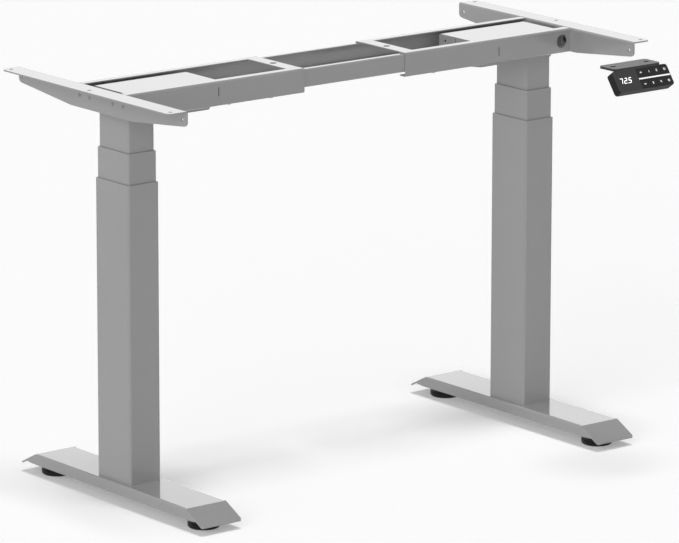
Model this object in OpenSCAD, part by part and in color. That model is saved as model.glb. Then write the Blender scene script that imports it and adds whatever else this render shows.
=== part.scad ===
// Height adjustable desk frame: two three-stage columns on sheet feet,
// joined by a beam of sliding rails, with side brackets for the desktop.
// Each leg is built from the middle of its column. X runs along the beam,
// the user sits on the -Y side, and Z is up from the floor.

/* [Frame] */
// Overall width over the two side brackets
frame_w = 1016; // [960:1:1400]
// How far each stage stands out of the one below it
stage_out = 52; // [4:1:280]
// Column axis to the inboard face of the bracket web
column_inset = 48; // [44:1:56]
// Height of the beam from the bottom of the motor box to the desktop
beam_drop = 51.2; // [50:0.2:56]

/* [Column] */
// Width of the outer tube along the beam
outer_w = 62; // [60:0.5:66]
// Depth of the outer tube from front to back
outer_d = 93; // [90:0.5:100]
// Length of the outer tube
outer_l = 504.8; // [480:1:560]
// How much smaller each stage is than the one around it
stage_step = 5.3; // [4.9:0.1:5.6]
// Wall of the three tubes
tube_wall = 1.8; // [1.5:0.1:1.9]
// Corner radius of the outer tube
tube_r = 4; // [3.5:0.1:6]

/* [Foot] */
// Height of the foot's top face
foot_h = 38; // [36:0.5:45]
// Width of the foot
foot_w = 81; // [78:0.5:95]
// Length of the flat top between the two creases
foot_flat = 424; // [380:1:500]
// Length over the two sloped ends
foot_l = 512; // [460:1:600]
// Drop of each sloped end
foot_drop = 22.5; // [16:0.5:24]
// Sheet thickness of the foot
foot_t = 3; // [2:0.1:4]
// Height of the open edge above the floor
skirt_gap = 19.5; // [17:0.5:24]

/* [Glides] */
// Radius of a levelling glide
glide_r = 26.8; // [20:0.2:32]
// Distance between the front and back glides
glide_pitch = 412; // [360:1:430]
// Diameter of the glide stud
glide_stud_d = 8; // [6:0.5:10]

/* [Beam] */
// Depth of the beam over its front and rear rails
beam_d = 136; // [128:1:150]
// Height of the end rails
rail_h = 41.3; // [38:0.1:46]
// Flange of the end rails
rail_flange = 16; // [14:0.5:18]
// Length of the end rails
rail_l = 362.5; // [330:0.5:380]
// Sheet thickness of the rails
rail_t = 2; // [1.5:0.1:2.5]
// Height of the centre rails
centre_h = 30.8; // [28:0.1:32]
// Flange of the centre rails
centre_flange = 10.2; // [9:0.1:11]
// Length of a centre rail hidden inside each end rail
centre_hidden = 312; // [240:1:320]

/* [Brackets] */
// Flange width of a side bracket
bracket_flange = 38.25; // [34:0.25:44]
// Length of a side bracket
bracket_l = 466; // [420:1:520]
// Depth of the bracket web at the column
bracket_deep = 41; // [38:0.5:44]
// Depth of the bracket web at its ends
bracket_end = 26; // [22:0.5:32]
// Sheet thickness of a side bracket
bracket_t = 2.5; // [2:0.1:3]
// Distance from the middle hole to each end hole
bracket_pitch = 221; // [190:1:222]
// Diameter of the desktop screw holes
desk_hole_d = 6.6; // [5:0.1:8]

/* [Handset] */
// Width of the handset case
handset_w = 120; // [112:1:130]
// Height of the sloped face
handset_face = 39; // [38.5:0.5:50]
// Thickness of the case
handset_t = 15; // [12:0.5:18]
// Lean of the face from upright
handset_tilt = 36; // [20:1:45]
// Distance from the column axis forward to the back of the case top
handset_out = 391; // [385:1:430]
// Distance from the frame's middle to the middle of the case
handset_x = 343; // [320:1:360]

/* [Hidden] */
$fn = 48;
cut = 1;
left = -1;
right = 1;

// Heights of the stages
outer_top = foot_h + outer_l;
mid_top = outer_top + stage_out;
stop_gap = 2;
box_bottom = mid_top + stage_out + stop_gap;
frame_h = box_bottom + beam_drop;

// Plan positions
web_x = frame_w / 2 - bracket_flange;
column_x = web_x - column_inset;
foot_tip_y = foot_l / 2;

// Tubes
mid_w = outer_w - stage_step;
mid_d = outer_d - stage_step;
inner_w = mid_w - stage_step;
inner_d = mid_d - stage_step;
radius_step = 0.7;
mid_r = tube_r - radius_step;
inner_r = mid_r - radius_step;
slide_fit = 0.15;
bush_h = 60;
bush_sink = 1;

// Welded plates and foot screws
plate_t = 5;
mid_rest_gap = 51.6;
inner_rest_gap = 52.4;
mid_bottom = foot_h + plate_t + mid_rest_gap;
mid_l = mid_top - mid_bottom;
inner_bottom = mid_bottom + plate_t + inner_rest_gap;
foot_bolt_d = 8;
foot_bolt_head_d = 13;
foot_bolt_head_h = 5;
foot_bolt_dx = 18;
foot_bolt_dy = 31;
bolt_slack = 0.4;
thread_fit = 0.05;
bend_r = 3;
tip_r = 5;
seat_d = 16;
seat_h = 13;

// Glides
glide_h = 19;
glide_drop = 8;
stud_top_gap = 0.5;
glide_foot_share = 0.915;
glide_edge_h = 2.5;
glide_wall_h = 11;
glide_groove = 1.6;
glide_groove_h = 1.2;
glide_lip_h = 1.6;
glide_neck_share = 0.75;
glide_nut_r = 7.5;

// Screws that lift the two upper stages
upper_screw_d = 14;
lower_screw_d = 24;
lower_screw_bore = 15;
screw_fit = 0.05;
post_d = 32;
post_bore = 26;
carrier_d = 40;
carrier_bore = 34;
lower_nut_top = outer_top - 144.8;
lower_nut_h = 20;
carrier_nut_z = mid_top - 142.6;
carrier_nut_h = 24;
screw_gap = 0.5;
lower_screw_z = mid_bottom + plate_t + screw_gap;
upper_screw_z = inner_bottom + 3;
thread_pitch = 6;
thread_depth = 0.6;
thread_show = 30;

// Motor box over the column
box_reach = 150.75;
box_in = column_x - box_reach;
box_out_gap = 14;
box_d = 88;
box_t = 2;
box_top_drop = 3.5;
box_bend_r = 2.5;
box_inner_long = [0, 19, 3.8];
box_inner_short = [12.5, 4, 4];
box_corner = 5;
box_step_x = 6;
box_step_z = 14;
box_seam = 1.5;
box_screw_d = 5;
box_screw_y = 28;
box_screw_drop = 10;
box_tab_w = 20;
box_tab_h = 26;
box_tab_drop = 7;
motor_r = 20;
motor_l = 112;
motor_drop = 27;
motor_cap_l = 14;
motor_rib = 1.5;
gear_w = 50;
gear_d = 74;
gear_lift = 3.2;
gear_hub_r = 19;
socket_w = 12;
socket_h = 8;
socket_l = 9;

// Rails
rail_set = 0.5;
rail_top = frame_h - rail_set;
rail_y = beam_d / 2;
rail_in = web_x - rail_l;
rail_r = 3;
centre_fit = 0.3;
centre_y = rail_y - rail_t - centre_fit;
centre_top = rail_top - rail_t - slide_fit;
centre_r = 2.5;
tie_w = 25;
tie_inset = 0.8;
tie_hole_d = 12;
tie_lap = 2.6;
access_d = 23;
access_in = 18.5;
slot_w = 2;
slot_h = 14.8;
slot_left = [185.25, 9.9];
slot_right = [158.75, 14];
grip_screw_d = 6;
grip_shares = [0.18, 0.42];
grip_depth_share = 0.55;
grip_head_d = 11;
grip_head_h = 3;

// Bracket holes and their screws
web_screw_d = 6;
web_hole_d = 6.6;
web_outer_y = 60;
web_inner_y = 32;
web_screw_drop = 20.5;
web_head_d = 10;
web_head_h = 4;
end_hole_d = 5.6;
end_hole_drop = 15;
hole_edge = 12.4;
bracket_r = 8;
flange_r = 10;
bracket_flat = 85;

// Handset
hanger_t = 4;
hanger_w = 102;
hanger_d = 40;
hanger_shift = -2.4;
neck_w = 58;
hanger_r = 6;
hanger_slot_l = 12;
hanger_slot_d = 6;
hanger_slot_pitch = 73;
hanger_lip = 2;
case_r = 5;
case_drop = 3.4;
panel_w = 68.8;
panel_h = 37.2;
panel_t = 1.4;
panel_edge = 0.7;
panel_r = 2;
pocket_deep = 3.4;
key_w = 15.4;
key_h = 12.6;
key_t = 2.4;
key_fit = 0.25;
key_pitch_x = 17.3;
key_pitch_y = 21.2;
key_first_x = -0.4;
key_first_y = 8.9;
key_r = 1.5;

// Middle of the whole footprint, handset included
tilt_sin = sin(handset_tilt);
tilt_cos = cos(handset_tilt);
handset_front = handset_out + (handset_face) * tilt_sin;
leg_y = (handset_front - foot_tip_y) / 2;

// Moves a leg's parts from its column axis to their place in the frame
module at_leg(side) {
    translate([side * column_x, leg_y, 0]) children();
}

// Mirrors a part drawn for the right end, so that +X is outboard
module outboard(side) {
    translate([0, leg_y, 0]) {
        if (side == right) children();
        else mirror([1, 0, 0]) children();
    }
}

// Rectangle with true round corners, centred
module round_rect(w, d, r) {
    square([w - 2 * r, d], center = true);
    square([w, d - 2 * r], center = true);
    for (sx = [-1, 1], sy = [-1, 1]) {
        translate([sx * (w / 2 - r), sy * (d / 2 - r)]) circle(r);
    }
}

// Round hole or bar along Z
module bar(d, z0, z1) {
    translate([0, 0, z0]) cylinder(h = z1 - z0, d = d);
}

// Bar along X
module bar_x(d, x0, x1) {
    translate([x0, 0, 0]) rotate([0, 90, 0]) cylinder(h = x1 - x0, d = d);
}

// Rectangular tube standing on z0
module box_tube(w, d, r, wall, z0, l) {
    translate([0, 0, z0]) linear_extrude(l) difference() {
        round_rect(w, d, r);
        round_rect(w - 2 * wall, d - 2 * wall, r - wall);
    }
}

// Outline drawn in the Y-Z plane, pulled along X by w, centred
module side_pull(w) {
    translate([-w / 2, 0, 0]) rotate([90, 0, 90]) linear_extrude(w) children();
}

// Points of a round stretch, from angle a0 to a1
function arc(cx, cy, r, a0, a1, n = 6) =
    [for (i = [0:n]) [cx + r * cos(a0 + (a1 - a0) * i / n), cy + r * sin(a0 + (a1 - a0) * i / n)]];

// Foot: a folded channel with sloped end plates

slope = atan2(foot_drop, (foot_l - foot_flat) / 2);
tip_z = foot_h - foot_drop;
under_y = foot_flat / 2 - foot_t * tan(slope / 2);
skirt_end_y = under_y + (foot_h - foot_t - skirt_gap) / tan(slope) - foot_t;
skirt_end_z = foot_h - foot_t - (skirt_end_y - under_y) * tan(slope);
skirt_turn_y = foot_flat / 2 + foot_t;

module foot_section() {
    difference() {
        foot_section_skin(foot_w, foot_h, bend_r);
        foot_section_skin(foot_w - 2 * foot_t, foot_h - foot_t, bend_r / 2);
    }
}

module foot_section_skin(w, h, r) {
    translate([-w / 2, 0]) square([w, h - r]);
    translate([-w / 2 + r, 0]) square([w - 2 * r, h]);
    for (s = [-1, 1]) translate([s * (w / 2 - r), h - r]) circle(r);
}

module foot_side_outline() {
    polygon([
        [-foot_flat / 2, foot_h],
        [foot_flat / 2, foot_h],
        [skirt_end_y, skirt_end_z],
        [(skirt_turn_y + skirt_end_y) / 2, skirt_gap + (skirt_end_z - skirt_gap) / 4],
        [skirt_turn_y, skirt_gap],
        [-skirt_turn_y, skirt_gap],
        [-(skirt_turn_y + skirt_end_y) / 2, skirt_gap + (skirt_end_z - skirt_gap) / 4],
        [-skirt_end_y, skirt_end_z]
    ]);
}

module foot_slopes_outline() {
    for (s = [-1, 1]) {
        polygon([
            [s * foot_flat / 2, foot_h],
            [s * foot_l / 2, tip_z],
            [s * (foot_l / 2 - foot_t * sin(slope)), tip_z - foot_t * cos(slope)],
            [s * under_y, foot_h - foot_t],
            [s * (under_y - foot_t), foot_h - foot_t],
            [s * (under_y - foot_t), foot_h]
        ]);
    }
}

module foot(side) {
    color([0.66, 0.66, 0.66]) at_leg(side) difference() {
        union() {
            intersection() {
                rotate([90, 0, 0]) linear_extrude(foot_l, center = true) foot_section();
                side_pull(foot_w) foot_side_outline();
            }
            intersection() {
                side_pull(foot_w) foot_slopes_outline();
                linear_extrude(foot_h + cut) round_rect(foot_w, foot_l, tip_r);
            }
            for (s = [-1, 1]) translate([0, s * glide_pitch / 2, 0]) {
                bar(seat_d, foot_h - foot_t - seat_h, foot_h - foot_t);
            }
        }
        for (s = [-1, 1]) translate([0, s * glide_pitch / 2, 0]) {
            bar(glide_stud_d + 2 * thread_fit, foot_h - foot_t - seat_h - cut, foot_h - foot_t);
        }
        foot_bolt_places() bar(foot_bolt_d + bolt_slack, foot_h - foot_t - cut, foot_h + cut);
    }
}

module foot_bolt_places() {
    for (sx = [-1, 1], sy = [-1, 1]) {
        translate([sx * foot_bolt_dx, sy * foot_bolt_dy, 0]) children();
    }
}

module foot_bolts(side) {
    color([0.2, 0.2, 0.2]) at_leg(side) foot_bolt_places() {
        head_top = foot_h - foot_t;
        difference() {
            bar(foot_bolt_head_d, head_top - foot_bolt_head_h, head_top);
            translate([0, 0, head_top - foot_bolt_head_h - cut]) {
                cylinder(h = foot_bolt_head_h / 2 + cut, d = foot_bolt_d, $fn = 6);
            }
        }
        bar(foot_bolt_d, head_top, foot_h + plate_t);
    }
}

// Levelling glide: a turned pad on a threaded stud

module glide(side, end) {
    stud_r = glide_stud_d / 2;
    stud_top = foot_h - foot_t - stud_top_gap;
    groove_z = glide_edge_h + glide_wall_h / 2;
    lip_z = glide_edge_h + glide_wall_h;
    color([0.1, 0.1, 0.1]) at_leg(side) translate([0, end * glide_pitch / 2, 0]) rotate_extrude() {
        polygon([
            [0, 0],
            [glide_r * glide_foot_share, 0],
            [glide_r, glide_edge_h],
            [glide_r, groove_z],
            [glide_r - glide_groove, groove_z + glide_groove_h / 2],
            [glide_r, groove_z + glide_groove_h],
            [glide_r, lip_z],
            [glide_r * glide_neck_share, lip_z + glide_lip_h],
            [glide_nut_r, lip_z + glide_lip_h],
            [glide_nut_r, glide_h],
            [stud_r, glide_h],
            [stud_r, stud_top],
            [0, stud_top]
        ]);
    }
}

// Column: three nested tubes with plastic guide bushes

module outer_tube(side) {
    color([0.62, 0.62, 0.62]) at_leg(side) {
        box_tube(outer_w, outer_d, tube_r, tube_wall, foot_h, outer_l);
    }
}

module base_plate(side) {
    w = outer_w - 2 * tube_wall;
    d = outer_d - 2 * tube_wall;
    color([0.55, 0.55, 0.55]) at_leg(side) difference() {
        translate([0, 0, foot_h]) linear_extrude(plate_t) round_rect(w, d, tube_r - tube_wall);
        foot_bolt_places() bar(foot_bolt_d + 2 * thread_fit, foot_h - cut, foot_h + plate_t + cut);
    }
}

// Guide bush: a thin liner in the mouth of a tube, for the next stage to slide in
module bush(w_out, d_out, r_out, w_in, d_in, r_in, top) {
    translate([0, 0, top - bush_sink - bush_h]) linear_extrude(bush_h) difference() {
        round_rect(w_out, d_out, r_out);
        round_rect(w_in, d_in, r_in);
    }
}

module outer_bush(side) {
    color([0.12, 0.12, 0.12]) at_leg(side) bush(
        outer_w - 2 * tube_wall, outer_d - 2 * tube_wall, tube_r - tube_wall,
        mid_w + 2 * slide_fit, mid_d + 2 * slide_fit, mid_r + slide_fit, outer_top);
}

module middle_bush(side) {
    color([0.12, 0.12, 0.12]) at_leg(side) bush(
        mid_w - 2 * tube_wall, mid_d - 2 * tube_wall, mid_r - tube_wall,
        inner_w + 2 * slide_fit, inner_d + 2 * slide_fit, inner_r + slide_fit, mid_top);
}

module middle_tube(side) {
    color([0.62, 0.62, 0.62]) at_leg(side) {
        box_tube(mid_w, mid_d, mid_r, tube_wall, mid_bottom, mid_l);
    }
}

module inner_tube(side) {
    color([0.62, 0.62, 0.62]) at_leg(side) {
        box_tube(inner_w, inner_d, inner_r, tube_wall, inner_bottom, gear_z() - inner_bottom);
    }
}

// Lifting gear: a lower hollow screw keyed to an upper screw inside it

module lower_nut_post(side) {
    color([0.5, 0.5, 0.52]) at_leg(side) difference() {
        bar(post_d, foot_h + plate_t, lower_nut_top);
        bar(post_bore, foot_h + plate_t - cut, lower_nut_top - lower_nut_h);
        bar(lower_screw_d + 2 * screw_fit, lower_nut_top - lower_nut_h - cut, lower_nut_top + cut);
    }
}

module nut_carrier(side) {
    plate_z = mid_bottom;
    w = mid_w - 2 * tube_wall;
    d = mid_d - 2 * tube_wall;
    nut_top = carrier_nut_z + carrier_nut_h;
    color([0.5, 0.5, 0.52]) at_leg(side) difference() {
        union() {
            translate([0, 0, plate_z]) linear_extrude(plate_t) round_rect(w, d, mid_r - tube_wall);
            bar(carrier_d, plate_z + plate_t, nut_top);
        }
        bar(carrier_bore, plate_z - cut, carrier_nut_z);
        bar(upper_screw_d + 2 * screw_fit, carrier_nut_z - cut, nut_top + cut);
    }
}

// Turned grooves show the thread at each end of a screw
module screw_thread(d, z0, z1) {
    for (z = [z0 : thread_pitch : z1 - thread_pitch]) translate([0, 0, z]) difference() {
        bar(d + cut, 0, thread_pitch / 2);
        bar(d - 2 * thread_depth, -cut, thread_pitch / 2 + cut);
    }
}

module lower_screw(side) {
    top = carrier_nut_z - screw_gap;
    color([0.7, 0.7, 0.7]) at_leg(side) difference() {
        bar(lower_screw_d, lower_screw_z, top);
        bar(lower_screw_bore, lower_screw_z - cut, top + cut);
        screw_thread(lower_screw_d, lower_screw_z + thread_pitch, lower_screw_z + thread_show);
    }
}

module upper_screw(side) {
    top = gear_z() + gear_h() / 2;
    color([0.7, 0.7, 0.7]) at_leg(side) difference() {
        bar(upper_screw_d, upper_screw_z, top);
        screw_thread(upper_screw_d, upper_screw_z + thread_pitch, upper_screw_z + thread_show);
    }
}

// Motor, gearbox and the folded box around them

// The gearbox stands on the inner tube and reaches the roof of the box
function gear_z() = box_bottom + gear_lift;
function gear_h() = frame_h - box_top_drop - box_t - gear_z();
function motor_z() = frame_h - motor_drop;

module gearbox(side) {
    color([0.25, 0.25, 0.27]) outboard(side) translate([column_x, 0, 0]) difference() {
        union() {
            translate([0, 0, gear_z()]) linear_extrude(gear_h()) round_rect(gear_w, gear_d, bend_r);
            translate([-gear_w / 2 - motor_rib, 0, motor_z()]) bar_x(2 * gear_hub_r, 0, motor_rib);
        }
        bar(upper_screw_d + 2 * screw_fit, gear_z() - cut, gear_z() + gear_h() / 2 + slide_fit);
    }
}

module motor(side) {
    face_x = column_x - gear_w / 2 - motor_rib;
    color([0.3, 0.3, 0.32]) outboard(side) translate([0, 0, motor_z()]) {
        bar_x(2 * motor_r, face_x - motor_l + motor_cap_l, face_x);
        bar_x(2 * (motor_r - motor_rib), face_x - motor_l, face_x - motor_l + motor_cap_l);
        translate([face_x - motor_l - socket_l, -socket_w / 2, -socket_h / 2]) {
            cube([socket_l + motor_rib, socket_w, socket_h]);
        }
    }
}

// Outline of the box seen along the beam: a roof with two long walls, open below
module box_section(wall) {
    h = frame_h - box_top_drop - box_bottom;
    difference() {
        box_skin(box_d, h, box_bend_r);
        box_skin(box_d - 2 * box_t, h - box_t, box_bend_r - box_t);
        // Keeps one wall and its half of the roof
        translate([wall > 0 ? -box_d : 0, -2 * cut]) square([box_d, h + 4 * cut]);
    }
}

module box_skin(w, h, r) {
    translate([-w / 2, -cut]) square([w, h - r + cut]);
    translate([-w / 2 + r, -cut]) square([w - 2 * r, h + cut]);
    for (s = [-1, 1]) translate([s * (w / 2 - r), h - r]) circle(r);
}

// One half of the box, its lower corners cut as given by [x inset, x run, z rise]
module box_half(wall, inner) {
    top = frame_h - box_top_drop;
    out_x = web_x - box_out_gap;
    intersection() {
        translate([box_in, 0, box_bottom]) rotate([90, 0, 90]) linear_extrude(out_x - box_in) {
            box_section(wall);
        }
        translate([0, box_d / 2 + cut, 0]) rotate([90, 0, 0]) linear_extrude(box_d + 2 * cut) {
            polygon([
                [box_in, top + cut],
                [out_x, top + cut],
                [out_x, box_bottom + box_step_z],
                [out_x - box_step_x, box_bottom + box_step_z],
                [out_x - box_step_x, box_bottom + box_corner],
                [out_x - box_step_x - box_corner, box_bottom],
                [box_in + inner[0] + inner[1], box_bottom],
                [box_in + inner[0], box_bottom + inner[2]],
                [box_in + inner[0], box_bottom + box_step_z],
                [box_in, box_bottom + box_step_z]
            ]);
        }
    }
}

module motor_box(side) {
    top = frame_h - box_top_drop;
    out_x = web_x - box_out_gap;
    flap_z = box_bottom + box_step_z;
    color([0.9, 0.9, 0.9]) outboard(side) difference() {
        union() {
            // The same part serves both legs, turned half round
            box_half(-side, box_inner_long);
            box_half(side, box_inner_short);
            // Inner end: two flaps that meet at a seam
            for (s = [-1, 1]) {
                flap = box_d / 2 - box_t - box_seam / 2 + cut / 2;
                translate([box_in, s > 0 ? box_seam / 2 : -flap - box_seam / 2, flap_z]) {
                    cube([box_t, flap, top - box_t / 2 - flap_z]);
                }
            }
            // Ears to the bracket web
            for (s = [-1, 1]) {
                ear_z = top - box_tab_drop - box_tab_h;
                translate([out_x - cut, s > 0 ? box_d / 2 - box_t : -box_d / 2, ear_z]) {
                    cube([box_out_gap + cut, box_t, box_tab_h]);
                }
                translate([web_x - box_t, s > 0 ? box_d / 2 - box_tab_w : -box_d / 2, ear_z]) {
                    cube([box_t, box_tab_w, box_tab_h]);
                }
            }
        }
        for (s = [-1, 1]) {
            translate([0, s * box_screw_y, top - box_screw_drop]) {
                bar_x(box_screw_d, box_in - cut, box_in + box_t + cut);
            }
            translate([0, s * web_inner_y, frame_h - web_screw_drop]) {
                bar_x(web_hole_d, web_x - box_t - cut, web_x + cut);
            }
        }
    }
}

// Beam rails: folded channels, web outward, flanges towards the middle

module channel_skin(d, h, r) {
    translate([r, 0]) square([d - r, h]);
    translate([0, r]) square([d, h - 2 * r]);
    for (z = [r, h - r]) translate([r, z]) circle(r);
}

module channel(d, h, t, r) {
    difference() {
        channel_skin(d, h, r);
        translate([t, t]) channel_skin(d, h - 2 * t, r - t);
    }
}

// Front rail when face is -1, rear rail when face is 1
module rail_place(face, y, z) {
    translate([0, face * y, z]) {
        if (face < 0) children();
        else mirror([0, 1, 0]) children();
    }
}

module end_rail(side, face, slot) {
    tab_w = web_outer_y + web_head_d / 2 + rail_t - (rail_y - rail_flange);
    color([0.55, 0.55, 0.55]) outboard(side) difference() {
        union() {
            rail_place(face, rail_y, rail_top - rail_h) translate([rail_in, 0, 0]) {
                rotate([90, 0, 90]) linear_extrude(rail_l) channel(rail_flange, rail_h, rail_t, rail_r);
            }
            // Closed end that meets the bracket web
            rail_place(face, rail_y, rail_top - rail_h) {
                translate([web_x - rail_t, rail_t / 2, rail_t / 2]) {
                    cube([rail_t, rail_flange - rail_t / 2, rail_h - rail_t]);
                }
            }
        }
        translate([0, face * web_outer_y, frame_h - web_screw_drop]) {
            bar_x(web_hole_d, web_x - rail_t - cut, web_x + cut);
        }
        // Round access hole by the bracket and the small slot in the web
        translate([web_x - access_in, face * rail_y, rail_top - rail_h / 2]) rotate([90, 0, 0]) {
            cylinder(h = 2 * rail_t + cut, d = access_d, center = true);
        }
        if (face < 0) {
            translate([web_x - slot[0] - slot_w / 2, -rail_y - cut, rail_top - slot[1] - slot_h]) {
                cube([slot_w, rail_t + 2 * cut, slot_h]);
            }
        }
        grip_places(face) cylinder(h = 2 * rail_t + cut, d = grip_screw_d + bolt_slack, center = true);
    }
}

// Where the screws clamp a centre rail, on the bottom flange of the end rail
module grip_places(face) {
    y = face * (rail_y - rail_flange * grip_depth_share);
    for (k = grip_shares) {
        translate([rail_in + rail_l * k, y, rail_top - rail_h + rail_t / 2]) children();
    }
}

module rail_screws(side) {
    color([0.2, 0.2, 0.2]) outboard(side) for (face = [-1, 1]) grip_places(face) {
        bottom = -rail_t / 2;
        reach = rail_h - rail_t - centre_h - 2 * slide_fit;
        translate([0, 0, bottom - grip_head_h]) cylinder(h = grip_head_h, d = grip_head_d);
        translate([0, 0, bottom]) cylinder(h = reach, d = grip_screw_d);
    }
}

module tie_plate(side) {
    lip = rail_y - rail_flange;
    color([0.9, 0.9, 0.9]) outboard(side) difference() {
        union() {
            translate([rail_in + tie_inset, -lip + slide_fit, rail_top - rail_t]) {
                cube([tie_w, 2 * (lip - slide_fit), rail_t]);
            }
            // Joggled ends pass under the rail flanges
            for (s = [-1, 1]) {
                y0 = s > 0 ? lip - tie_lap : -lip - tie_lap;
                translate([rail_in + tie_inset, y0, rail_top - 2 * rail_t]) {
                    cube([tie_w, 2 * tie_lap, rail_t]);
                }
            }
        }
        translate([rail_in + tie_inset + tie_w / 2, 0, 0]) {
            bar(tie_hole_d, rail_top - rail_t - cut, rail_top + cut);
        }
    }
}

module centre_rail(face) {
    l = 2 * (rail_in + centre_hidden);
    color([0.55, 0.55, 0.55]) translate([0, leg_y, 0]) {
        rail_place(face, centre_y, centre_top - centre_h) translate([-l / 2, 0, 0]) {
            rotate([90, 0, 90]) linear_extrude(l) channel(centre_flange, centre_h, rail_t, centre_r);
        }
    }
}

// Side bracket: an angle with a tapered web and an outboard flange

module bracket_angle() {
    // Outline in X-Z, web at web_x and flange outboard
    difference() {
        translate([web_x, 0]) bracket_angle_skin(bracket_flange, bracket_deep + cut, bend_r);
        translate([web_x + bracket_t, -cut]) {
            bracket_angle_skin(bracket_flange, bracket_deep + cut - bracket_t + cut, bend_r - bracket_t);
        }
    }
}

module bracket_angle_skin(w, h, r) {
    translate([0, 0]) square([w, h - r]);
    translate([r, 0]) square([w - r, h]);
    translate([r, h - r]) circle(r);
}

module bracket_side_outline() {
    end_y = bracket_l / 2;
    low = frame_h - bracket_deep;
    end_low = frame_h - bracket_end;
    corner = arc(end_y - bracket_r, end_low + bracket_r, bracket_r, 0, -84);
    polygon(concat(
        [[-end_y, frame_h + cut], [end_y, frame_h + cut]],
        corner,
        [[bracket_flat, low], [-bracket_flat, low]],
        [for (i = [len(corner) - 1 : -1 : 0]) [-corner[i][0], corner[i][1]]]
    ));
}

module side_bracket(side) {
    flange_x = web_x + bracket_flange;
    mid_x = (web_x + flange_x) / 2;
    span = 2 * bracket_flange;
    color([0.64, 0.64, 0.64]) outboard(side) difference() {
        intersection() {
            translate([0, bracket_l / 2, frame_h - bracket_deep - cut]) rotate([90, 0, 0]) {
                linear_extrude(bracket_l) bracket_angle();
            }
            translate([mid_x, 0, 0]) side_pull(span) bracket_side_outline();
            translate([flange_x - span / 2, 0, frame_h - 2 * bracket_deep]) {
                linear_extrude(2 * bracket_deep + cut) round_rect(span, bracket_l, flange_r);
            }
        }
        for (k = [-1, 0, 1]) translate([flange_x - hole_edge, k * bracket_pitch, 0]) {
            bar(desk_hole_d, frame_h - bracket_t - cut, frame_h + cut);
        }
        for (k = [-1, 1]) {
            translate([0, k * bracket_pitch, frame_h - end_hole_drop]) {
                bar_x(end_hole_d, web_x - cut, web_x + bracket_t + cut);
            }
        }
        web_screw_places() bar_x(web_hole_d, web_x - cut, web_x + bracket_t + cut);
    }
}

module web_screw_places() {
    for (y = [-web_outer_y, -web_inner_y, web_inner_y, web_outer_y]) {
        translate([0, y, frame_h - web_screw_drop]) children();
    }
}

module bracket_bolts(side) {
    color([0.3, 0.3, 0.3]) outboard(side) web_screw_places() {
        head_x = web_x - rail_t;
        difference() {
            bar_x(web_head_d, head_x - web_head_h, head_x);
            bar_x(web_screw_d / 2, head_x - web_head_h - cut, head_x - web_head_h / 2);
        }
        bar_x(web_screw_d, head_x, web_x + bracket_t);
    }
}

// Handset: a hanger plate under the desktop, a leaning case and eight keys

module on_face() {
    top_z = frame_h - case_drop;
    translate([handset_x, leg_y - handset_out, top_z]) rotate([90 - handset_tilt, 0, 0]) children();
}

module handset_hanger() {
    mid_y = leg_y - handset_out + hanger_d / 2;
    color([0.12, 0.12, 0.12]) difference() {
        translate([handset_x + hanger_shift, mid_y, frame_h - hanger_t]) linear_extrude(hanger_t) {
            difference() {
                round_rect(hanger_w, hanger_d, hanger_r);
                for (s = [-1, 1]) translate([s * hanger_slot_pitch / 2, 0]) {
                    round_rect(hanger_slot_l, hanger_slot_d, hanger_slot_d / 2 - slide_fit);
                }
            }
        }
    }
}

module handset_case() {
    spine = hanger_d / 2;
    color([0.13, 0.13, 0.13]) difference() {
        union() {
            on_face() translate([0, -handset_face / 2, -handset_t]) {
                linear_extrude(handset_t) round_rect(handset_w, handset_face, case_r);
            }
            // Neck that joins the case to the hanger
            translate([handset_x + hanger_shift - neck_w / 2, leg_y - handset_out, 0]) {
                translate([0, 0, frame_h - hanger_t - handset_t]) {
                    cube([neck_w, spine, handset_t]);
                }
            }
        }
        on_face() panel_place() translate([0, 0, -pocket_deep]) {
            linear_extrude(pocket_deep + cut) round_rect(panel_w, panel_h, panel_r);
        }
        // Seat of the hanger plate
        translate([handset_x - handset_w, leg_y - handset_out, frame_h - hanger_t]) {
            cube([2 * handset_w, hanger_d, hanger_t]);
        }
        // Lets nothing of the neck stand in front of the face
        on_face() translate([-handset_w, -handset_face * 2, 0]) {
            cube([2 * handset_w, 4 * handset_face, handset_t]);
        }
        // Socket for the lead at the back of the neck
        translate([handset_x - socket_w / 2, leg_y - handset_out + spine - socket_l, 0]) {
            translate([0, 0, frame_h - hanger_t - handset_t / 2 - socket_h / 2]) {
                cube([socket_w, socket_l + cut, socket_h]);
            }
        }
    }
}

module panel_place() {
    panel_x = handset_w / 2 - panel_edge - panel_w / 2;
    translate([panel_x, -handset_face / 2, 0]) children();
}

module key_place(col, row) {
    x = key_first_x + col * key_pitch_x;
    y = -key_first_y - row * key_pitch_y;
    translate([x, y, 0]) children();
}

module handset_panel() {
    color([0.05, 0.05, 0.05]) on_face() difference() {
        panel_place() translate([0, 0, -panel_t]) {
            linear_extrude(panel_t) round_rect(panel_w, panel_h, panel_r);
        }
        for (col = [0:3], row = [0:1]) key_place(col, row) translate([0, 0, -panel_t - cut]) {
            linear_extrude(panel_t + 2 * cut) round_rect(key_w, key_h, key_r);
        }
    }
}

module key(col, row) {
    color([0.06, 0.06, 0.06]) on_face() key_place(col, row) translate([0, 0, -key_t]) {
        linear_extrude(key_t) round_rect(key_w - 2 * key_fit, key_h - 2 * key_fit, key_r);
    }
}

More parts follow.
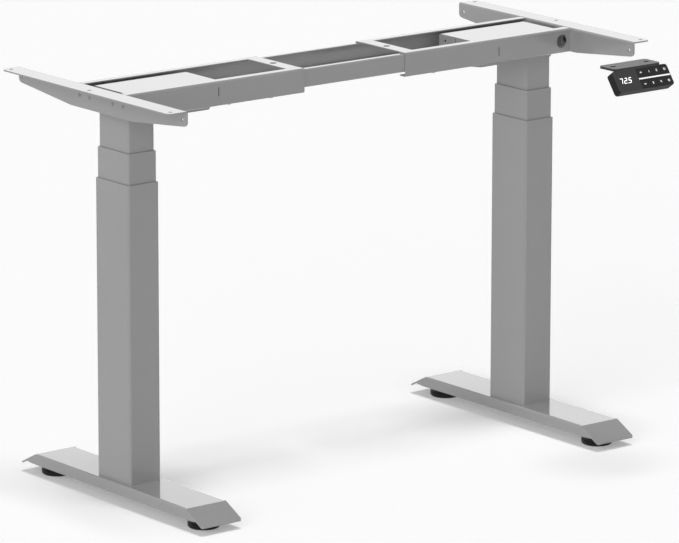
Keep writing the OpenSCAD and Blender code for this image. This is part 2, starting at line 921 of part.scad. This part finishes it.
foot(left);  // left_foot
base_plate(left);  // left_base_plate
outer_tube(left);  // left_outer_tube
outer_bush(left);  // left_outer_bush
lower_nut_post(left);  // left_lower_nut_post
foot_bolts(left);  // left_foot_bolts
glide(left, -1);  // left_front_glide
glide(left, 1);  // left_rear_glide
middle_tube(left);  // left_middle_tube
middle_bush(left);  // left_middle_bush
nut_carrier(left);  // left_nut_carrier
lower_screw(left);  // left_lower_screw
inner_tube(left);  // left_inner_tube
upper_screw(left);  // left_upper_screw
gearbox(left);  // left_gearbox
motor(left);  // left_motor
motor_box(left);  // left_motor_box
end_rail(left, -1, slot_left);  // left_front_end_rail
end_rail(left, 1, slot_left);  // left_rear_end_rail
tie_plate(left);  // left_tie_plate
rail_screws(left);  // left_rail_screws
side_bracket(left);  // left_side_bracket
bracket_bolts(left);  // left_bracket_bolts
foot(right);  // right_foot
base_plate(right);  // right_base_plate
outer_tube(right);  // right_outer_tube
outer_bush(right);  // right_outer_bush
lower_nut_post(right);  // right_lower_nut_post
foot_bolts(right);  // right_foot_bolts
glide(right, -1);  // right_front_glide
glide(right, 1);  // right_rear_glide
middle_tube(right);  // right_middle_tube
middle_bush(right);  // right_middle_bush
nut_carrier(right);  // right_nut_carrier
lower_screw(right);  // right_lower_screw
inner_tube(right);  // right_inner_tube
upper_screw(right);  // right_upper_screw
gearbox(right);  // right_gearbox
motor(right);  // right_motor
motor_box(right);  // right_motor_box
end_rail(right, -1, slot_right);  // right_front_end_rail
end_rail(right, 1, slot_right);  // right_rear_end_rail
tie_plate(right);  // right_tie_plate
rail_screws(right);  // right_rail_screws
side_bracket(right);  // right_side_bracket
bracket_bolts(right);  // right_bracket_bolts
centre_rail(-1);  // front_centre_rail
centre_rail(1);  // rear_centre_rail
handset_hanger();
handset_case();
handset_panel();
key(0, 0);  // key_up
key(1, 0);  // key_memory_1
key(2, 0);  // key_memory_2
key(3, 0);  // key_save
key(0, 1);  // key_down
key(1, 1);  // key_memory_3
key(2, 1);  // key_memory_4
key(3, 1);  // key_lock
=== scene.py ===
import math

import bpy
from mathutils import Matrix, Vector


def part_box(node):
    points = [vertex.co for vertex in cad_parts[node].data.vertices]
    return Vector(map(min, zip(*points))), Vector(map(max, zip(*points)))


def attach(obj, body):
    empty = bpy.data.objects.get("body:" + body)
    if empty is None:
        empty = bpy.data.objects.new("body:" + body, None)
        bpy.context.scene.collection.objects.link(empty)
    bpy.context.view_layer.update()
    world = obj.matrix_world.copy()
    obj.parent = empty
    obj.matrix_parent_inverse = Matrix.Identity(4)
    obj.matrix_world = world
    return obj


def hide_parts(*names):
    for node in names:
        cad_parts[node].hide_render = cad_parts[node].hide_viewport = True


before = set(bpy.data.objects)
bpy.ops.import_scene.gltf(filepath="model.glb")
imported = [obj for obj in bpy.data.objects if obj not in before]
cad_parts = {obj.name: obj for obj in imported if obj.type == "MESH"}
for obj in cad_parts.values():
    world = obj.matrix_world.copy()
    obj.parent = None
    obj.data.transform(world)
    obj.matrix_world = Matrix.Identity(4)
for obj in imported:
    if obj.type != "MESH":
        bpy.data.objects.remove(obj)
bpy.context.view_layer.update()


# The feet, tubes, rails, motor boxes and brackets are folded or rolled steel, all in one
# smooth grey powder coat, sprayed on dry and baked. It is semi-gloss, so the feet mirror
# the columns, with the faint orange peel that powder leaves when it flows out.

def new_finish(name):
    made = bpy.data.materials.new(name)
    made.use_nodes = True
    nodes = made.node_tree.nodes
    nodes.clear()
    out = nodes.new("ShaderNodeOutputMaterial")
    shader = nodes.new("ShaderNodeBsdfPrincipled")
    made.node_tree.links.new(shader.outputs["BSDF"], out.inputs["Surface"])
    return made, nodes, made.node_tree.links, shader


def speckle(nodes, links, waves, detail, stretch=(1, 1, 1)):
    """A noise laid in the part's own metres, stretched along the way the steel was rolled."""
    place = nodes.new("ShaderNodeTexCoord")
    turn = nodes.new("ShaderNodeMapping")
    turn.inputs["Scale"].default_value = stretch
    noise = nodes.new("ShaderNodeTexNoise")
    noise.inputs["Scale"].default_value = waves
    noise.inputs["Detail"].default_value = detail
    links.new(place.outputs["Object"], turn.inputs["Vector"])
    links.new(turn.outputs["Vector"], noise.inputs["Vector"])
    return noise.outputs["Fac"]


def tint(nodes, links, shader, drift, dark, light):
    """Lets the colour drift between two near shades."""
    mix = nodes.new("ShaderNodeMix")
    mix.data_type = "RGBA"
    mix.inputs["A"].default_value = (*dark, 1)
    mix.inputs["B"].default_value = (*light, 1)
    links.new(drift, mix.inputs["Factor"])
    links.new(mix.outputs["Result"], shader.inputs["Base Color"])


def sheen_drift(nodes, links, shader, drift, smooth, rough):
    """Lets the polish drift between two roughness values over the noise's usual span."""
    noise_low, noise_high = 0.3, 0.7
    span = nodes.new("ShaderNodeMapRange")
    span.inputs["From Min"].default_value = noise_low
    span.inputs["From Max"].default_value = noise_high
    span.inputs["To Min"].default_value = smooth
    span.inputs["To Max"].default_value = rough
    links.new(drift, span.inputs["Value"])
    links.new(span.outputs["Result"], shader.inputs["Roughness"])


def relief(nodes, links, shader, grain, strength, deep):
    """Raises the surface a little where the noise is high; deep is in metres."""
    bump = nodes.new("ShaderNodeBump")
    bump.inputs["Strength"].default_value = strength
    bump.inputs["Distance"].default_value = deep
    links.new(grain, bump.inputs["Height"])
    links.new(bump.outputs["Normal"], shader.inputs["Normal"])


def shallow_mirror(nodes, links, shader, start, full, bright, rough):
    """Makes the skin a mirror where it is seen at a shallow angle, as a glossy coat does."""
    shallow = nodes.new("ShaderNodeLayerWeight")
    rise = nodes.new("ShaderNodeMapRange")
    rise.interpolation_type = "SMOOTHSTEP"
    rise.inputs["From Min"].default_value = start
    rise.inputs["From Max"].default_value = full
    mirror = nodes.new("ShaderNodeBsdfGlossy")
    mirror.inputs["Color"].default_value = (bright, bright, bright, 1)
    mirror.inputs["Roughness"].default_value = rough
    both = nodes.new("ShaderNodeMixShader")
    out = [n for n in nodes if n.type == "OUTPUT_MATERIAL"][0]
    links.new(shallow.outputs["Facing"], rise.inputs["Value"])
    links.new(rise.outputs["Result"], both.inputs[0])
    links.new(shader.outputs["BSDF"], both.inputs[1])
    links.new(mirror.outputs["BSDF"], both.inputs[2])
    links.new(both.outputs[0], out.inputs["Surface"])


def powder_coat(name, dark, light, smooth, rough):
    made, nodes, links, shader = new_finish(name)
    cloud = speckle(nodes, links, waves=14.0, detail=4.0)
    orange_peel = speckle(nodes, links, waves=420.0, detail=2.0)
    tint(nodes, links, shader, cloud, dark, light)
    sheen_drift(nodes, links, shader, cloud, smooth, rough)
    relief(nodes, links, shader, orange_peel, strength=0.06, deep=0.00004)
    shader.inputs["Coat Weight"].default_value = 0.5
    shader.inputs["Coat Roughness"].default_value = 0.05
    shader.inputs["Coat IOR"].default_value = 1.5
    shallow_mirror(nodes, links, shader, start=0.64, full=0.84, bright=0.89, rough=0.07)
    return made


def wears(finish, *names):
    """Gives a CAD piece its finish, in every slot it has."""
    for name in names:
        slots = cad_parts[name].data.materials
        if not slots:
            slots.append(finish)
        for i in range(len(slots)):
            slots[i] = finish


grey_coat = powder_coat("grey powder coat", dark=(0.325, 0.325, 0.328),
                        light=(0.35, 0.35, 0.353), smooth=0.2, rough=0.26)
for side in ("left", "right"):
    wears(grey_coat, side + "_foot", side + "_outer_tube", side + "_middle_tube",
          side + "_inner_tube", side + "_front_end_rail", side + "_rear_end_rail",
          side + "_tie_plate", side + "_side_bracket", side + "_motor_box")
wears(grey_coat, "front_centre_rail", "rear_centre_rail")


# Two levelling glides carry each foot: turned pads of black nylon with a fine matt grain,
# each pressed on an M8 stud that screws into the weld nut in the foot.

def moulded(name, dark, light, smooth, rough, waves, deep, shine=0.5):
    """A plastic skin: waves is the size of its grain, and deep is in metres."""
    made, nodes, links, shader = new_finish(name)
    cloud = speckle(nodes, links, waves=30.0, detail=3.0)
    grain = speckle(nodes, links, waves=waves, detail=2.0)
    tint(nodes, links, shader, cloud, dark, light)
    sheen_drift(nodes, links, shader, grain, smooth, rough)
    relief(nodes, links, shader, grain, strength=0.4, deep=deep)
    shader.inputs["Specular IOR Level"].default_value = shine
    return made


glide_nylon = moulded("glide nylon", dark=(0.004, 0.004, 0.004), light=(0.008, 0.008, 0.008),
                      smooth=0.3, rough=0.42, waves=700.0, deep=0.00004, shine=0.25)
for side in ("left", "right"):
    wears(glide_nylon, side + "_front_glide", side + "_rear_glide")


# A guide bush sits in the mouth of each outer and middle tube: a thin moulded liner of
# waxy black acetal, so that painted steel never rubs on painted steel.

bush_acetal = moulded("bush acetal", dark=(0.02, 0.02, 0.02), light=(0.032, 0.032, 0.032),
                      smooth=0.3, rough=0.42, waves=500.0, deep=0.00004)
for side in ("left", "right"):
    wears(bush_acetal, side + "_outer_bush", side + "_middle_bush")


# The lift inside each column: rolled steel spindles, greased, with machined nuts on
# welded posts and plates that are phosphated a dull dark grey.

def bare_steel(name, dark, light, smooth, rough, along=(1, 1, 1)):
    """Unpainted metal, with the marks of drawing or plating stretched by along."""
    made, nodes, links, shader = new_finish(name)
    cloud = speckle(nodes, links, waves=40.0, detail=4.0)
    drawn = speckle(nodes, links, waves=900.0, detail=2.0, stretch=along)
    tint(nodes, links, shader, cloud, dark, light)
    sheen_drift(nodes, links, shader, drawn, smooth, rough)
    relief(nodes, links, shader, drawn, strength=0.2, deep=0.00004)
    shader.inputs["Metallic"].default_value = 1.0
    return made


spindle_steel = bare_steel("spindle steel", dark=(0.42, 0.42, 0.43), light=(0.56, 0.56, 0.57),
                           smooth=0.22, rough=0.38, along=(1, 1, 0.05))
phosphated = bare_steel("phosphated steel", dark=(0.2, 0.2, 0.21), light=(0.28, 0.28, 0.29),
                        smooth=0.4, rough=0.6)
for side in ("left", "right"):
    wears(spindle_steel, side + "_upper_screw", side + "_lower_screw")
    wears(phosphated, side + "_base_plate", side + "_lower_nut_post", side + "_nut_carrier")


# Black zinc machine screws hold the columns on the feet from below. Grey zinc ones hold
# the rails and motor boxes on the bracket webs, where their ends show.

black_zinc = bare_steel("black zinc", dark=(0.05, 0.05, 0.052), light=(0.09, 0.09, 0.092),
                        smooth=0.3, rough=0.45)
grey_zinc = bare_steel("grey zinc", dark=(0.2, 0.2, 0.205), light=(0.28, 0.28, 0.285),
                       smooth=0.35, rough=0.5)
for side in ("left", "right"):
    wears(black_zinc, side + "_foot_bolts")
    wears(grey_zinc, side + "_bracket_bolts")


# Four button-head screws in the lower flanges of each leg's end rails clamp the centre
# rails once the width is set. The heads are low domes with a hex socket, cold headed
# and plated grey.

HEAD_RADIUS = 0.0055
HEAD_HIGH = 0.0014
CAD_HEAD_HIGH = 0.003
SHANK_RADIUS = 0.003
SOCKET_RADIUS = 0.0021
SOCKET_DEEP = 0.0009
CROWN = ((0.0040, 0.0), (0.0050, 0.0003), (HEAD_RADIUS, 0.0008))
AROUND = 24


def new_piece(name, verts, faces, finish, body):
    mesh = bpy.data.meshes.new(name)
    mesh.from_pydata(verts, [], faces)
    mesh.update()
    made = bpy.data.objects.new(name, mesh)
    bpy.context.scene.collection.objects.link(made)
    mesh.materials.append(finish)
    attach(made, body)
    return made


def hex_reach(angle):
    """Distance from the socket's centre to its hexagonal wall at this angle."""
    from_flat = (angle + math.pi / 6) % (math.pi / 3) - math.pi / 6
    return SOCKET_RADIUS * math.cos(math.pi / 6) / math.cos(from_flat)


def clamp_screws(side):
    low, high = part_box(side + "_rail_screws")
    seat = low.z + CAD_HEAD_HIGH
    under = seat - HEAD_HIGH
    turned = [(hex_reach, under + SOCKET_DEEP), (hex_reach, under)]
    turned += [(radius, under + rise) for radius, rise in CROWN]
    turned += [(HEAD_RADIUS, seat), (SHANK_RADIUS, seat), (SHANK_RADIUS, high.z)]
    verts, faces = [], []
    for x in (low.x + HEAD_RADIUS, high.x - HEAD_RADIUS):
        for y in (low.y + HEAD_RADIUS, high.y - HEAD_RADIUS):
            start = len(verts)
            for radius, z in turned:
                for k in range(AROUND):
                    angle = math.tau * k / AROUND
                    r = hex_reach(angle) if radius is hex_reach else radius
                    verts.append((x + r * math.cos(angle), y + r * math.sin(angle), z))
            for ring in range(len(turned) - 1):
                for k in range(AROUND):
                    a = start + ring * AROUND + k
                    b = start + ring * AROUND + (k + 1) % AROUND
                    faces.append((a, b, b + AROUND, a + AROUND))
            top = start + (len(turned) - 1) * AROUND
            faces.append(tuple(start + AROUND - 1 - k for k in range(AROUND)))
            faces.append(tuple(top + k for k in range(AROUND)))
    made = new_piece(side + "_clamp_screws", verts, faces, grey_zinc, side + "_top")
    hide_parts(side + "_rail_screws")


clamp_screws("left")
clamp_screws("right")


# A round motor in a black painted can drives a die-cast gearbox over each column. Both
# hang in the folded box and are seen only from below.

motor_paint = moulded("motor can paint", dark=(0.02, 0.02, 0.021), light=(0.032, 0.032, 0.033),
                      smooth=0.3, rough=0.4, waves=350.0, deep=0.00005)
cast_alloy = bare_steel("cast alloy", dark=(0.42, 0.42, 0.43), light=(0.52, 0.52, 0.53),
                        smooth=0.4, rough=0.6)
for side in ("left", "right"):
    wears(motor_paint, side + "_motor")
    wears(cast_alloy, side + "_gearbox")


# The handset is a leaning case of black moulded plastic under a flat plate with two screw
# slots. The case has a fine matt grain, and its sloped face is painted a little lighter as a
# painted highlight for the light that falls on it. The key panel and keys are polished.

plate_black = moulded("handset plate", dark=(0.008, 0.008, 0.009), light=(0.014, 0.014, 0.015),
                      smooth=0.24, rough=0.34, waves=600.0, deep=0.00003)
case_black = moulded("handset case", dark=(0.008, 0.008, 0.009), light=(0.013, 0.013, 0.014),
                     smooth=0.45, rough=0.6, waves=900.0, deep=0.00005, shine=0.18)
# A lighter copy of the case black for the sloped face: a painted highlight.
face_black_painted_lighter = moulded("handset face painted lighter", dark=(0.028, 0.028, 0.029), light=(0.04, 0.04, 0.041),
                     smooth=0.45, rough=0.58, waves=900.0, deep=0.00003)
panel_black = moulded("handset gloss", dark=(0.006, 0.006, 0.006), light=(0.01, 0.01, 0.01),
                      smooth=0.06, rough=0.1, waves=200.0, deep=0.00001)
KEYS = ("key_up", "key_memory_1", "key_memory_2", "key_save",
        "key_down", "key_memory_3", "key_memory_4", "key_lock")
wears(plate_black, "handset_hanger")
wears(case_black, "handset_case")
wears(panel_black, "handset_panel", *KEYS)

# The case's patches that face forward and up take the lighter copy: painted highlight where
# the light falls.
FACE_FORWARD = -0.75
FACE_UPWARD = 0.5
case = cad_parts["handset_case"]
case.data.materials.append(face_black_painted_lighter)
case_turn = case.matrix_world.to_3x3()
for patch in case.data.polygons:
    way_out = (case_turn @ patch.normal).normalized()
    if way_out.y < FACE_FORWARD and way_out.z > FACE_UPWARD:
        patch.material_index = len(case.data.materials) - 1


# The marks on the handset: the height reading glows through the case, each key has a small
# printed mark, and a white line is printed between the two rows of keys. The key marks and
# the line are given a faint painted glow.

LEAN = math.radians(36)
PLATE_TO_FACE = 0.0034
hanger_low, hanger_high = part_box("handset_hanger")
face_down = Vector((0, -math.sin(LEAN), -math.cos(LEAN)))
face_out = Vector((0, -math.cos(LEAN), math.sin(LEAN)))
face_top = Vector((0, hanger_low.y, hanger_high.z - PLATE_TO_FACE))
INK_PROUD = 0.00008
INK_THICK = 0.00012


def on_face(x, down, out):
    """A point of the case's sloped face: x in the row, distance down from its top edge."""
    return Vector((x, 0, 0)) + face_top + face_down * down + face_out * out


def printed(name, bars, finish, body):
    """Thin printed bars; each is (x0, down0, x1, down1, width)."""
    verts, faces = [], []
    for x0, down0, x1, down1, width in bars:
        along = Vector((x1 - x0, down1 - down0))
        across = Vector((-along.y, along.x)).normalized() * width / 2
        corners = ((x0 - across.x, down0 - across.y), (x0 + across.x, down0 + across.y),
                   (x1 + across.x, down1 + across.y), (x1 - across.x, down1 - across.y))
        n = len(verts)
        for out in (INK_PROUD - INK_THICK, INK_PROUD):
            verts += [on_face(x, down, out) for x, down in corners]
        faces += [(n, n + 3, n + 2, n + 1), (n + 4, n + 5, n + 6, n + 7)]
        faces += [(n + i, n + (i + 1) % 4, n + 4 + (i + 1) % 4, n + 4 + i) for i in range(4)]
    new_piece(name, verts, faces, finish, body)


# White ink with a glow: a real glow for the lit height reading, a painted glow on the printed
# key marks and line.
def white_mark_with_glow(name, level, glow):
    made, nodes, links, shader = new_finish(name)
    cloud = speckle(nodes, links, waves=2500.0, detail=2.0)
    tint(nodes, links, shader, cloud, dark=(level * 0.95,) * 3, light=(level,) * 3)
    sheen_drift(nodes, links, shader, cloud, smooth=0.4, rough=0.5)
    relief(nodes, links, shader, cloud, strength=0.1, deep=0.00001)
    shader.inputs["Emission Color"].default_value = (0.93, 0.97, 1.0, 1)
    shader.inputs["Emission Strength"].default_value = glow
    return made


glow_white = white_mark_with_glow("display glow", level=0.8, glow=1.1)
# The printed key marks and the line are no lamp: their glow is painted light.
key_print_painted_glow = white_mark_with_glow("key print painted glow", level=0.82, glow=0.25)
line_print_painted_glow = white_mark_with_glow("line print painted glow", level=0.85, glow=0.35)

# Strokes of a numeral on a field 1 wide and 2 high, from its top left
SEGMENTS = {"a": (0, 0, 1, 0), "b": (1, 0, 1, 1), "c": (1, 1, 1, 2), "d": (0, 2, 1, 2),
            "e": (0, 1, 0, 2), "f": (0, 0, 0, 1), "g": (0, 1, 1, 1)}
NUMERALS = {"7": "abc", "2": "abged", "5": "afgcd", "1": "bc", "3": "abgcd", "4": "fgbc"}


def numeral(digit, x, down, width, height, stroke, slant=0.0):
    bars = []
    for key in NUMERALS[digit]:
        x0, down0, x1, down1 = SEGMENTS[key]
        level0, level1 = down0 / 2, down1 / 2
        bars.append((x + x0 * width + slant * (1 - level0) * height, down + level0 * height,
                     x + x1 * width + slant * (1 - level1) * height, down + level1 * height,
                     stroke))
    return bars


READING_DOWN = 0.0148
READING_HIGH = 0.0090
READING_STROKE = 0.0012
READING_SLANT = 0.42
READING = (("7", 0.2903, 0.0057), ("2", 0.3005, 0.0047), ("5", 0.3100, 0.0048))
POINT = (0.3076, 0.0230, 0.3076, 0.0243, 0.0014)
KEY_LINE = (0.3338, 0.0198, 0.4022, 0.0198, 0.0025)

reading = []
for digit, x, width in READING:
    reading += numeral(digit, x, READING_DOWN, width, READING_HIGH, READING_STROKE,
                       READING_SLANT)
reading.append(POINT)
printed("height_reading", reading, glow_white, "right_top")
printed("key_row_line", [KEY_LINE], line_print_painted_glow, "right_top")

KEY_X = (0.3426, 0.3599, 0.3772, 0.3945)
KEY_DOWN = (0.0089, 0.0301)
INK_SPREAD = 1.4
ARROW_HALF, ARROW_FOOT, ARROW_TIP, ARROW_STROKE = 0.002, 0.001, 0.0012, 0.0009
NUMBER_WIDE, NUMBER_HIGH, NUMBER_STROKE = 0.0018, 0.0036, 0.0007
RING_RADIUS, RING_SIDES, RING_STROKE = 0.0017, 12, 0.0008

for n, name in enumerate(KEYS):
    x, down = KEY_X[n % 4], KEY_DOWN[n // 4]
    if name in ("key_up", "key_down"):
        way = 1 if name == "key_up" else -1
        foot, tip = down + way * ARROW_FOOT, down - way * ARROW_TIP
        bars = [(x - ARROW_HALF, foot, x, tip, ARROW_STROKE),
                (x, tip, x + ARROW_HALF, foot, ARROW_STROKE)]
    elif name.startswith("key_memory"):
        bars = numeral(name[-1], x - NUMBER_WIDE / 2, down - NUMBER_HIGH / 2,
                       NUMBER_WIDE, NUMBER_HIGH, NUMBER_STROKE)
    else:
        angles = [math.tau * i / RING_SIDES for i in range(RING_SIDES)]
        ring = [(x + RING_RADIUS * math.cos(a), down + RING_RADIUS * math.sin(a))
                for a in angles]
        bars = [(*ring[i], *ring[(i + 1) % RING_SIDES], RING_STROKE)
                for i in range(RING_SIDES)]
    printed(name + "_mark", [(*bar[:4], bar[4] * INK_SPREAD) for bar in bars],
            key_print_painted_glow, name)


# The room is a plain white studio floor that runs out past the picture, under two wide
# lamps. The floor keeps the frame's soft shadow, and its white comes from its own colour
# and glow, which only the eye and mirrors see.

FLOOR_REACH = 30.0
FLOOR_SEEN = 0.82
FLOOR_GLOW = 0.265
FLOOR_BOUNCE = 0.75

floor_mesh = bpy.data.meshes.new("floor")
floor_mesh.from_pydata([(-FLOOR_REACH, -FLOOR_REACH, 0), (FLOOR_REACH, -FLOOR_REACH, 0),
                        (FLOOR_REACH, FLOOR_REACH, 0), (-FLOOR_REACH, FLOOR_REACH, 0)],
                       [], [(0, 1, 2, 3)])
floor = bpy.data.objects.new("floor", floor_mesh)
bpy.context.scene.collection.objects.link(floor)

floor_paint = bpy.data.materials.new("studio floor")
floor_paint.use_nodes = True
nodes, links = floor_paint.node_tree.nodes, floor_paint.node_tree.links
nodes.clear()
out = nodes.new("ShaderNodeOutputMaterial")
seen = nodes.new("ShaderNodeBsdfDiffuse")
seen.inputs["Color"].default_value = (FLOOR_SEEN, FLOOR_SEEN, FLOOR_SEEN, 1)
glow = nodes.new("ShaderNodeEmission")
glow.inputs["Strength"].default_value = FLOOR_GLOW
both = nodes.new("ShaderNodeAddShader")
bounce = nodes.new("ShaderNodeBsdfDiffuse")
bounce.inputs["Color"].default_value = (FLOOR_BOUNCE, FLOOR_BOUNCE, FLOOR_BOUNCE, 1)
path = nodes.new("ShaderNodeLightPath")
eye = nodes.new("ShaderNodeMath")
eye.operation = "MAXIMUM"
eyes = nodes.new("ShaderNodeMath")
eyes.operation = "MAXIMUM"
pick = nodes.new("ShaderNodeMixShader")
links.new(path.outputs["Is Camera Ray"], eye.inputs[0])
links.new(path.outputs["Is Glossy Ray"], eye.inputs[1])
links.new(eye.outputs[0], eyes.inputs[0])
links.new(path.outputs["Is Transmission Ray"], eyes.inputs[1])
links.new(seen.outputs[0], both.inputs[0])
links.new(glow.outputs[0], both.inputs[1])
links.new(eyes.outputs[0], pick.inputs[0])
links.new(bounce.outputs[0], pick.inputs[1])
links.new(both.outputs[0], pick.inputs[2])
links.new(pick.outputs[0], out.inputs["Surface"])
floor_mesh.materials.append(floor_paint)

# The eye sees plain white walls. Mirrors see them too, up to a darker ceiling, and the
# room's own light on the frame is lower.
WALL_WHITE = 0.955
CEILING_GREY = 0.24
ROOM_LIGHT = 0.22
WALL_TOP, CEILING_EDGE = 0.45, 0.8

world = bpy.data.worlds.new("studio")
bpy.context.scene.world = world
world.use_nodes = True
nodes, links = world.node_tree.nodes, world.node_tree.links
nodes.clear()
out = nodes.new("ShaderNodeOutputWorld")
sky = nodes.new("ShaderNodeBackground")
sky.inputs["Color"].default_value = (1.0, 1.0, 1.0, 1)
path = nodes.new("ShaderNodeLightPath")
shiny = nodes.new("ShaderNodeMath")
shiny.operation = "MAXIMUM"
way = nodes.new("ShaderNodeTexCoord")
parts = nodes.new("ShaderNodeSeparateXYZ")
ceiling = nodes.new("ShaderNodeMapRange")
ceiling.interpolation_type = "SMOOTHSTEP"
ceiling.inputs["From Min"].default_value = WALL_TOP
ceiling.inputs["From Max"].default_value = CEILING_EDGE
ceiling.inputs["To Min"].default_value = WALL_WHITE
ceiling.inputs["To Max"].default_value = CEILING_GREY
mirrored = nodes.new("ShaderNodeMix")
mirrored.inputs["A"].default_value = ROOM_LIGHT
seen_white = nodes.new("ShaderNodeMix")
seen_white.inputs["B"].default_value = WALL_WHITE
links.new(way.outputs["Generated"], parts.inputs["Vector"])
links.new(parts.outputs["Z"], ceiling.inputs["Value"])
links.new(path.outputs["Is Glossy Ray"], shiny.inputs[0])
links.new(path.outputs["Is Transmission Ray"], shiny.inputs[1])
links.new(shiny.outputs[0], mirrored.inputs["Factor"])
links.new(ceiling.outputs["Result"], mirrored.inputs["B"])
links.new(path.outputs["Is Camera Ray"], seen_white.inputs["Factor"])
links.new(mirrored.outputs["Result"], seen_white.inputs["A"])
links.new(seen_white.outputs["Result"], sky.inputs["Strength"])
links.new(sky.outputs[0], out.inputs["Surface"])


def lamp(name, place, aim, power, angle):
    """A wide even lamp; the paint's gloss shows the white walls and not the lamp itself."""
    data = bpy.data.lights.new(name, "SUN")
    data.energy = power
    data.angle = angle
    made = bpy.data.objects.new(name, data)
    made.location = place
    made.rotation_mode = "QUATERNION"
    made.rotation_quaternion = (Vector(aim) - Vector(place)).to_track_quat("-Z", "Y")
    made.visible_glossy = False
    bpy.context.scene.collection.objects.link(made)


lamp("top box", place=(0, -0.3, 3.0), aim=(0, 0, 0), power=1.55, angle=0.27)
lamp("side light", place=(-2.7, -1.1, 1.4), aim=(0, 0.08, 0.4), power=1.38, angle=0.9)


# The camera stands before the frame's left front corner, a little above it, with a long
# lens, so that upright edges stay nearly parallel.

CAMERA_PLACE = (-5.4948, -6.941838, 2.4504)
CAMERA_RIGHT = (0.78658, -0.61748, 0.00126)
CAMERA_UP = (0.14217, 0.18308, 0.97276)
SENSOR_WIDE = 36.0
LENS_LONG = 287.55
FAR_END = 100.0

camera_data = bpy.data.cameras.new("camera")
camera = bpy.data.objects.new("camera", camera_data)
bpy.context.scene.collection.objects.link(camera)
bpy.context.scene.camera = camera
camera_data.sensor_fit = "HORIZONTAL"
camera_data.sensor_width = SENSOR_WIDE
camera_data.lens = LENS_LONG
camera_data.clip_end = FAR_END
right = Vector(CAMERA_RIGHT).normalized()
back = right.cross(Vector(CAMERA_UP)).normalized()
up = back.cross(right)
turn = Matrix((right, up, back)).transposed().to_4x4()
camera.matrix_world = Matrix.Translation(CAMERA_PLACE) @ turn

bpy.context.scene.view_settings.view_transform = "Standard"
